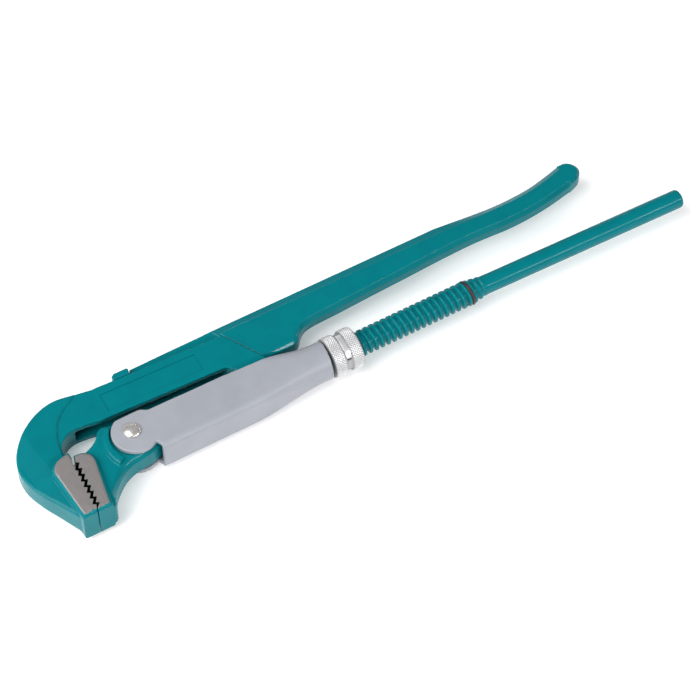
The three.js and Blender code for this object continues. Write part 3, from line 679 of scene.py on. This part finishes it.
COLUMNS = 14
first, last = THREAD_FROM - PITCH, THREAD_TO + PITCH
rows = int((last - first) / PITCH * TURN)
corners, faces = [], []
for j in range(rows + 1):
    a = 2 * math.pi * (j / TURN + first / PITCH)
    for k in range(COLUMNS):
        x = first + PITCH * (j / TURN + k / COLUMNS) - PITCH / 2
        r = CORE_R + (THREAD_R - CORE_R) * tooth(k / COLUMNS) * fade(x)
        corners.append((x, r * math.cos(a), r * math.sin(a)))
for j in range(rows):
    for k in range(COLUMNS):
        a, b = j * COLUMNS + k, (j + 1) * COLUMNS + k
        if k < COLUMNS - 1:
            faces.append((a, a + 1, b + 1, b))
        elif j + 1 + TURN <= rows:
            c = (j + TURN) * COLUMNS
            faces.append((a, c, c + COLUMNS, b))
thread = piece_from("rod_thread", corners, faces)
print("thread rows and columns:", rows, COLUMNS)
finished(thread, "rod")

# %% [markdown]
# The rest of the rod is plain: a shank and a fork hidden in the sleeve, and a grip that leans
# slightly outwards and ends in a rounded chamfer.

# %% Shank, fork and grip
LEAN = math.radians(1.2)
GRIP_FROM, ROD_END = 172.0, 276.4
length = (ROD_END - GRIP_FROM) / math.cos(LEAN)
grip_profile = [(-2, 0), (-2, CORE_R - 0.02)] + [(length * i / 12, CORE_R - 0.02) for i in range(12)]
for i in range(9):
    a = math.pi / 2 * i / 8
    grip_profile.append((length - 1.5 + 1.5 * math.sin(a), CORE_R - 1.3 + 1.28 * math.cos(a)))
grip = turned("rod_grip", grip_profile + [(length, 0)], 64)
grip.data.transform(Matrix.Translation((GRIP_FROM, 0, 0)) @ Matrix.Rotation(-LEAN, 4, "Z"))
finished(grip, "rod", ["threaded_rod"], angle=50)

fork_outline = (arc(PIVOT_X, ROD_PIN_Y, 3.6, 90, 270, 24)
                + [(71, -4.7), (75, -3.5), (75, 3.5), (70.5, 2.4)])
fork = forged("rod_fork", fork_outline, CHEEK_HALF, 0.4)
joined(fork, [turned("fork_round", [(40, 0), (40, 6.85), (90, 6.85), (90, 0)])], "INTERSECT")
cut(fork, [block("tongue_room", 50, 71.5, -15, 10, -TONGUE - 0.3, TONGUE + 0.3),
           prism("hole", arc(PIVOT_X, ROD_PIN_Y, PIN_HOLE_R, 0, 350, 35), -20, 20)])
SHANK_R = 5.8
NECK_R = CORE_R - 0.02
joined(fork, [turned("shank", [(72, 0), (72, 4.6), (73.2, SHANK_R), (86.5, SHANK_R), (88.5, NECK_R),
                               (94, NECK_R), (94, 0)])])
finished(fork, "rod", angle=35)

# %% [markdown]
# ## Pins
# Two short pins sit side by side in the sleeve. One ties the handle to the rod and the other ties it
# to the hook. They hardly show, but each has the small chamfers of a real dowel.

# %% Dowels
def dowel(name, y, half):
    end_r = PIN_R - 0.4
    profile = [(-half, 0), (-half, end_r), (-half + 0.4, PIN_R), (half - 0.4, PIN_R), (half, end_r),
               (half, 0)]
    pin = turned(name, profile, 40)
    turn = Matrix.Translation((PIVOT_X, y, 0)) @ Matrix.Rotation(math.radians(90), 4, "Y")
    pin.data.transform(turn)
    return pin


hook_dowel = dowel("hook_dowel", HOOK_PIN_Y, CHEEK_HALF)
finished(hook_dowel, "handle", ["hook_pin"], 40)
rod_dowel = dowel("rod_dowel", ROD_PIN_Y, CHEEK_HALF)
finished(rod_dowel, "rod", ["rod_pin"], 40)

# %% [markdown]
# ## The adjusting nut
# The nut has two knurled bands with a smooth groove between them. Knurling is two sets of slanting
# grooves rolled across each other, which leaves small diamonds. Here the radius itself carries the
# pattern, so the diamonds catch the light from every side. The bore is left plain, because the
# threads inside it never show.

# %% Knurled nut
AROUND = 46
KNURL = 0.3
KNURL_LEAD = 1.32
BORE_R = 4.95
NUT_STEPS = AROUND * 10
GROOVE = ((NUT_FROM + NUT_TO) / 2 - 1.5, (NUT_FROM + NUT_TO) / 2 + 1.5)


def wave(u):
    """A triangle wave, 0 in a groove of the knurl and 1 between two grooves."""
    return 1 - abs(2 * (u % 1.0) - 1)


def band_radius(x, turn):
    """Radius on a knurled band at a place along X and a share of a turn."""
    edge = min(x - NUT_FROM, NUT_TO - x)
    if x < GROOVE[1] - 1e-6:
        edge = min(edge, max(GROOVE[0] - x, 0))
    else:
        edge = min(edge, max(x - GROOVE[1], 0))
    u, w = AROUND * turn + x / KNURL_LEAD, AROUND * turn - x / KNURL_LEAD
    diamond = min(1.0, 1.5 * min(wave(u), wave(w)))
    top = NUT_R - max(0.0, 0.55 - edge) * 0.8
    return top - KNURL * (1 - diamond) * min(1, edge / 0.4)


BAND_STEPS = 44
left = [NUT_FROM + (GROOVE[0] - NUT_FROM) * i / BAND_STEPS for i in range(BAND_STEPS + 1)]
right = [GROOVE[1] + (NUT_TO - GROOVE[1]) * i / BAND_STEPS for i in range(BAND_STEPS + 1)]
rings = []
for j in range(NUT_STEPS):
    turn = j / NUT_STEPS
    a = 2 * math.pi * turn
    ring = [(NUT_FROM, BORE_R), (NUT_FROM, 7.0)]
    ring += [(x, band_radius(x, turn)) for x in left]
    ring += [(GROOVE[0], 8.5), (GROOVE[0] + 0.2, 8.3), (GROOVE[1] - 0.2, 8.3), (GROOVE[1], 8.5)]
    ring += [(x, band_radius(x, turn)) for x in right]
    ring += [(NUT_TO, 7.0), (NUT_TO, BORE_R)]
    rings.append([(x, r * math.cos(a), r * math.sin(a)) for x, r in ring])
nut = stacked("knurled_nut", rings + rings[:1], ends=False)
print("nut points round and along:", NUT_STEPS, len(rings[0]))

# %% [markdown]
# A slot is milled through the groove and a small hole sits beside it. A bright strip lies in the
# groove between the two.

# %% Slot, hole and strip
def wedge(name, x0, x1, low, high, start, end, steps=24):
    """A piece of the space round the rod, between two angles measured from +Y towards +Z."""
    outline = arc(0, 0, high, start, end, steps) + arc(0, 0, low, end, start, steps)
    return stacked(name, [[(x, y, z) for y, z in outline] for x in (x0, x1)])


cut(nut, [wedge("slot", GROOVE[0] + 0.2, GROOVE[1] - 0.2, 4.4, 10.4, 24, 64.3),
          wedge("tail_hole", GROOVE[0] + 0.5, GROOVE[1] - 0.5, 4.4, 10.4, 148.2, 155)])
finished(nut, "nut", ["adjusting_nut"], angle=28)

strip = wedge("groove_strip", GROOVE[0] + 0.2, GROOVE[1] - 0.2, 8.42, 9.1, 66, 147, 40)
soft = strip.modifiers.new("soft", "BEVEL")
soft.width, soft.segments, soft.limit_method = 0.16, 3, "ANGLE"
bake_modifiers(strip)
finished(strip, "nut", ["nut_clip"], angle=50)

# %% [markdown]
# ## The stop ring
# A turn of brown wire lies in the thread near its end. It stops the nut before it runs off. A curve
# that follows the thread's lead, with a round bevel, is all it needs.

# %% Wire ring
WIRE_R = 0.6
RING_R = CORE_R + WIRE_R + 0.35
wire = bpy.data.curves.new("stop_wire", "CURVE")
wire.dimensions = "3D"
wire.bevel_depth = WIRE_R + 0.12
wire.bevel_resolution = 6
wire.use_fill_caps = True
spline = wire.splines.new("POLY")
RING_STEPS = 72
spline.points.add(RING_STEPS)
start_x = round(163.2 / PITCH) * PITCH + PITCH / 2
for i in range(RING_STEPS + 1):
    a = -2.2 + (2 * math.pi - math.radians(26)) * i / RING_STEPS
    x = start_x + PITCH * a / (2 * math.pi)
    spline.points[i].co = (x, RING_R * math.cos(a), RING_R * math.sin(a), 1)
ring_curve = bpy.data.objects.new("stop_wire", wire)
bpy.context.scene.collection.objects.link(ring_curve)
graph = bpy.context.evaluated_depsgraph_get()
ring_mesh = bpy.data.meshes.new_from_object(ring_curve.evaluated_get(graph))
bpy.data.objects.remove(ring_curve)
ring_piece = bpy.data.objects.new("wire_ring", ring_mesh)
bpy.context.scene.collection.objects.link(ring_piece)
finished(ring_piece, "rod", ["stop_ring"], angle=50)

# %% [markdown]
# ## Writing finishes as arithmetic
# A finish is a small sum of masks and noises. `Wire` wraps one output of a node, and its operators
# add the Math nodes, so a mask can be written as `1 - speck * 0.3`. Every other node comes from
# `Finish.node`, which sets the node's own settings first and then its sockets.

# %% Wires and finishes
class Wire:
    """One output of a node. Arithmetic on it adds Math nodes."""

    def __init__(self, finish, socket):
        self.finish, self.socket = finish, socket

    def maths(self, kind, a, b=0.0):
        return self.finish.node("ShaderNodeMath", {"operation": kind}, {0: a, 1: b})

    def __add__(self, other):
        return self.maths("ADD", self, other)

    __radd__ = __add__

    def __mul__(self, other):
        return self.maths("MULTIPLY", self, other)

    __rmul__ = __mul__

    def __sub__(self, other):
        return self.maths("SUBTRACT", self, other)

    def __rsub__(self, other):
        return self.maths("SUBTRACT", other, self)

    def __abs__(self):
        return self.maths("ABSOLUTE", self)

    def root(self):
        return self.maths("SQRT", self)

    def high(self, other):
        return self.maths("MAXIMUM", self, other)

    def step(self, start, end):
        """0 below start and 1 above end, with a smooth climb between them."""
        return self.finish.node("ShaderNodeMapRange", {"interpolation_type": "SMOOTHSTEP"},
                                {"Value": self, "From Min": start, "From Max": end})


class Finish:
    """A material, and the one way that this file adds nodes to it."""

    def __init__(self, name, metallic, roughness, **fixed):
        self.material = bpy.data.materials.new(name)
        self.material.use_nodes = True
        self.tree = self.material.node_tree
        self.shader = self.tree.nodes["Principled BSDF"]
        self.shader.inputs["Metallic"].default_value = metallic
        self.shader.inputs["Roughness"].default_value = roughness
        for key, value in fixed.items():
            self.shader.inputs[key.replace("_", " ")].default_value = value

    def node(self, kind, settings, sockets, out=0):
        made = self.tree.nodes.new(kind)
        for key, value in settings.items():
            setattr(made, key, value)
        for key, value in sockets.items():
            if isinstance(value, Wire):
                self.tree.links.new(value.socket, made.inputs[key])
            else:
                made.inputs[key].default_value = value
        return Wire(self, made.outputs[out])

    def place(self):
        """The point's place in the drawing, in millimetres, as three wires."""
        here = self.node("ShaderNodeTexCoord", {}, {}, "Object")
        moved = self.node("ShaderNodeVectorMath", {"operation": "SUBTRACT"},
                          {0: here, 1: tuple(ORIGIN)})
        scaled = self.node("ShaderNodeVectorMath", {"operation": "SCALE"}, {0: moved, "Scale": 1000})
        split = self.tree.nodes.new("ShaderNodeSeparateXYZ")
        self.tree.links.new(scaled.socket, split.inputs[0])
        return scaled, [Wire(self, o) for o in split.outputs]

    def noise(self, point, size, detail=2.0):
        """Soft noise from 0 to 1. Size is the width of one patch in millimetres."""
        return self.node("ShaderNodeTexNoise", {}, {"Vector": point, "Scale": 1 / size,
                                                    "Detail": detail, "Roughness": 0.55})

    def blend(self, share, a, b):
        """A colour between a and b."""
        return self.node("ShaderNodeMix", {"data_type": "RGBA"}, {0: share, 6: a, 7: b}, 2)

    def feed(self, **wires):
        for key, value in wires.items():
            self.tree.links.new(value.socket, self.shader.inputs[key.replace("_", " ")])

    def bump(self, height, depth):
        """Turns a height from 0 to 1 into relief. Depth is in millimetres."""
        relief = self.node("ShaderNodeBump", {}, {"Height": height, "Distance": depth / 1000,
                                                  "Strength": 1.0})
        self.feed(Normal=relief)


print("finish helpers ready")

# %% [markdown]
# ## Teal enamel
# The forgings are dipped in a thick glossy enamel. It lies a little uneven, like orange peel, over
# the coarser unevenness of the forged skin, and its colour drifts between two close teals in broad
# patches. The gloss comes from a thin coat over a duller base.

# %% Enamel
TEAL = (0.0, 0.176, 0.203, 1)
TEAL_DEEP = (0.0, 0.161, 0.188, 1)


def enamel(name, peel=0.05, forge=0.10):
    finish = Finish(name, 0.0, 0.3, Specular_IOR_Level=0.06, Coat_Weight=0.22, Coat_Roughness=0.09)
    point, axes = finish.place()
    broad = finish.noise(point, 9.0, 3)
    ripple = finish.noise(point, 1.6, 2)
    fine = finish.noise(point, 0.5, 1)
    colour = finish.blend(broad.step(0.3, 0.75), TEAL, TEAL_DEEP)
    height = broad * forge + ripple * peel + fine * 0.01
    return finish, point, axes, colour, height


def plain_enamel(name, **kind):
    finish, point, _, colour, height = enamel(name, **kind)
    finish.feed(Base_Color=colour, Roughness=0.24 + finish.noise(point, 3.0) * 0.14)
    finish.bump(height, 1.0)
    return finish.material


rod_enamel = plain_enamel("rod_enamel", peel=0.04, forge=0.04)
print("enamel for the rod:", rod_enamel.name)

# %% [markdown]
# The forgings that carry pads add one more layer. The pads are ground after painting, so bare steel
# with fine grinding lines shows above a set height, down to an uneven line where the grinding stops
# and the nose keeps its paint. The sides of the teeth are painted near black as painted shade.

# %% Enamel with ground pads
# Near black, painted as shade in the gaps between the teeth.
TEETH_SHADE = (0.004, 0.012, 0.014, 1)
STEEL_BARE = (0.37, 0.35, 0.345, 1)
STEEL_DARK = (0.30, 0.28, 0.275, 1)
GROUND_FROM, GROUND_FULL = PAD_HALF - 0.14, PAD_HALF - 0.04
PAINT_LINE = -23.4


def padded_enamel(name):
    """Enamel, bare ground steel on the pad and painted shade between the teeth, chosen by place."""
    finish, point, (x, y, z), colour, height = enamel(name)
    ragged = finish.noise(point, 1.5, 3)
    proud = (abs(z) + ragged * 0.16).step(GROUND_FROM, GROUND_FULL)
    above = (y + ragged * 2.6).step(PAINT_LINE + 0.7, PAINT_LINE + 0.9)
    ground = proud * above
    lean = x + y * BITE_LEAN
    grain = finish.node("ShaderNodeCombineXYZ", {}, {0: lean * 5.0, 1: y * 0.25, 2: z * 2.0})
    lines = finish.noise(grain, 1.0, 4)
    steel = finish.blend(lines.step(0.25, 0.75), STEEL_BARE, STEEL_DARK)
    # A near-black colour on the sides of the teeth is painted shade in the gaps between them.
    tooth_line = x - y * BITE_LEAN
    flank_shade = (tooth_line.step(-30.1, -29.9) * (1 - tooth_line.step(-26.5, -26.3)) * (1 - proud)
              * y.step(-23.9, -23.6) * (1 - y.step(1.2, 1.6)))
    painted = finish.blend(flank_shade, colour, TEETH_SHADE)
    finish.feed(Base_Color=finish.blend(ground, painted, steel),
                Metallic=ground * 0.75,
                Roughness=0.26 + finish.noise(point, 3.0) * 0.12 + ground * 0.14 + ground * lines * 0.1)
    finish.bump(height * (1 - ground) + ground * lines * 0.012, 1.0)
    return finish.material


jaw_enamel = padded_enamel("short_jaw_enamel")
hook_enamel = padded_enamel("hook_enamel")
print("pads are ground above", round(GROUND_FROM, 2), "mm")

# %% [markdown]
# A piece's mesh holds its materials in slots. Each painted piece gets one slot with its own coat,
# and the three pieces of the rod share one.

# %% Dress the enamel pieces
def dress(piece, coat):
    """Leaves the piece with this one material."""
    piece.data.materials.clear()
    piece.data.materials.append(coat)


dress(hook, hook_enamel)
dress(jaw, jaw_enamel)
dress(handle, plain_enamel("handle_enamel"))
for piece in (thread, grip, fork):
    dress(piece, rod_enamel)
print("enamelled pieces:", [piece.name for piece in (hook, jaw, handle, thread, grip, fork)])

# %% [markdown]
# ## Sleeve paint, plated steel and browned wire
# The sleeve has a smooth satin paint. The nut and its strip are zinc plated, bright but slightly
# milky. The rivet and dowels are turned steel, and the wire is browned with oil.

# %% Other finishes
def satin_paint():
    finish = Finish("sleeve_satin", 0.0, 0.42, Specular_IOR_Level=0.45)
    point, _ = finish.place()
    cloud = finish.noise(point, 14.0, 3)
    peel = finish.noise(point, 1.2, 2)
    finish.feed(Base_Color=finish.blend(cloud.step(0.3, 0.7), (0.335, 0.35, 0.39, 1),
                                        (0.31, 0.325, 0.365, 1)),
                Roughness=0.36 + peel * 0.12)
    finish.bump(peel * 0.5 + cloud * 0.5, 0.06)
    return finish.material


def plated(name, light, dark, rough, metallic, crown=0.0):
    """Plating or browning. Where a crown radius is given, everything deeper gets painted shade."""
    finish = Finish(name, metallic, rough)
    point, (_, y, z) = finish.place()
    mottle = finish.noise(point, 2.5, 3)
    fine = finish.noise(point, 0.35, 2)
    share = mottle.step(0.3, 0.75) * 0.5
    # Below the crown, in the knurl's grooves and on the end faces, the colour darkens as painted shade.
    if crown:
        radius = (y * y + z * z).root()
        share = share.high(1 - radius.step(crown - 0.30, crown - 0.06))
    finish.feed(Base_Color=finish.blend(share, light, dark),
                Roughness=rough - 0.06 + fine * 0.14)
    finish.bump(fine, 0.015)
    return finish.material


def turned_steel():
    finish = Finish("turned_steel", 0.7, 0.16)
    point, _ = finish.place()
    smear = finish.noise(point, 1.8, 3)
    finish.feed(Base_Color=finish.blend(smear.step(0.35, 0.8), (0.78, 0.76, 0.74, 1),
                                        (0.52, 0.46, 0.42, 1)),
                Roughness=0.20 + smear * 0.14)
    finish.bump(finish.noise(point, 0.6, 2), 0.004)
    return finish.material


zinc = plated("zinc_plating", (0.84, 0.84, 0.85, 1), (0.40, 0.40, 0.41, 1), 0.42, 0.5, NUT_R)
zinc_strip = plated("zinc_strip", (0.86, 0.86, 0.87, 1), (0.74, 0.74, 0.76, 1), 0.30, 0.6)
browned = plated("browned_wire", (0.060, 0.030, 0.026, 1), (0.035, 0.020, 0.018, 1), 0.42, 0.3)
steel = turned_steel()
for piece, coat in ((sleeve, satin_paint()), (nut, zinc), (strip, zinc_strip), (rivet, steel),
                    (hook_dowel, steel), (rod_dowel, steel), (ring_piece, browned)):
    dress(piece, coat)
print("materials in the scene:", len(bpy.data.materials))

# %% [markdown]
# ## Floor, light and camera
# A tool like this is shown on a seamless pale table. The floor is one large sheet of nearly white
# paper that glows a little, so that it stays pale while the tool's shadow still shows on it.

# %% Floor
FLOOR_DROP = 0.0002


def flat_floor(size=6.0):
    floor = piece_from("floor", [(-size, -size, 0), (size, -size, 0), (size, size, 0),
                                 (-size, size, 0)], [(0, 1, 2, 3)])
    finish = Finish("floor_paper", 0.0, 0.9, Specular_IOR_Level=0.1)
    point, _ = finish.place()
    tone = finish.noise(point, 400.0, 2)
    finish.feed(Base_Color=finish.blend(tone, (0.90, 0.90, 0.90, 1), (0.88, 0.88, 0.88, 1)))
    finish.shader.inputs["Emission Color"].default_value = (1.0, 1.0, 1.0, 1)
    finish.shader.inputs["Emission Strength"].default_value = 0.30
    floor.data.materials.append(finish.material)
    return floor


floor = flat_floor()
floor.location.z = -FLOOR_DROP
print("floor lies at", floor.location.z)

# %% [markdown]
# Five soft lights do the work. The overhead one stands to the left, where the flat faces don't
# mirror it into the camera. Three long narrow ones lie low in front, behind and on the right, and
# draw thin lines along the sleeve's fold and the forgings' edges. One more fills in from the left.

# %% Lights
centre = Vector((0.0, 0.0, 0.01))


def softbox(name, direction, distance, width, height, power):
    """A large soft light that faces the tool from a direction."""
    data = bpy.data.lights.new(name, "AREA")
    data.shape = "RECTANGLE"
    data.size, data.size_y, data.energy = width, height, power
    lamp = bpy.data.objects.new(name, data)
    bpy.context.scene.collection.objects.link(lamp)
    towards = Vector(direction).normalized()
    lamp.location = centre + towards * distance
    lamp.rotation_euler = (-towards).to_track_quat("-Z", "Y").to_euler()
    return lamp


softbox("overhead", (-0.75, 0.05, 0.95), 1.5, 1.4, 1.4, 27)
softbox("front_low", (0.29, -0.81, 0.53), 1.3, 1.3, 0.08, 9)
softbox("back_low", (0.3, 0.9, 0.34), 1.3, 1.3, 0.016, 0.7)
softbox("right_low", (1.0, 0.0, 0.16), 1.3, 0.9, 0.016, 1.5)
softbox("left_fill", (-1.0, -0.1, 0.5), 1.3, 0.8, 0.3, 3)
print("lights:", sorted(light.name for light in bpy.data.lights))
world = bpy.data.worlds.new("studio")
world.use_nodes = True
world.node_tree.nodes["Background"].inputs["Color"].default_value = (1.0, 1.0, 1.0, 1)
world.node_tree.nodes["Background"].inputs["Strength"].default_value = 0.16
bpy.context.scene.world = world
bpy.context.scene.view_settings.view_transform = "Standard"

# %% [markdown]
# The camera stands well back with a long lens, so the far handle hardly shrinks. Its three axes come
# from how far it looks down and how far it stands round to the left.

# %% Camera
TILT = math.radians(54.23)
SWING = math.radians(30.13)
FOCAL_LENGTH = 138.86
CAMERA_AT = Vector((-241.58, -596.40, 955.87))
right = Vector((math.cos(SWING), -math.sin(SWING), 0))
up = Vector((math.sin(TILT) * math.sin(SWING), math.sin(TILT) * math.cos(SWING), math.cos(TILT)))
back = Vector((-math.cos(TILT) * math.sin(SWING), -math.cos(TILT) * math.cos(SWING), math.sin(TILT)))
lens = bpy.data.cameras.new("camera")
lens.sensor_width = 36
lens.lens = FOCAL_LENGTH
lens.clip_end = 20
camera = bpy.data.objects.new("camera", lens)
bpy.context.scene.collection.objects.link(camera)
turn = Matrix((right, up, back)).transposed().to_4x4()
camera.matrix_world = Matrix.Translation(TO_SCENE @ CAMERA_AT) @ turn
bpy.context.scene.camera = camera
print("camera stands", round(camera.location.length, 2), "m away")
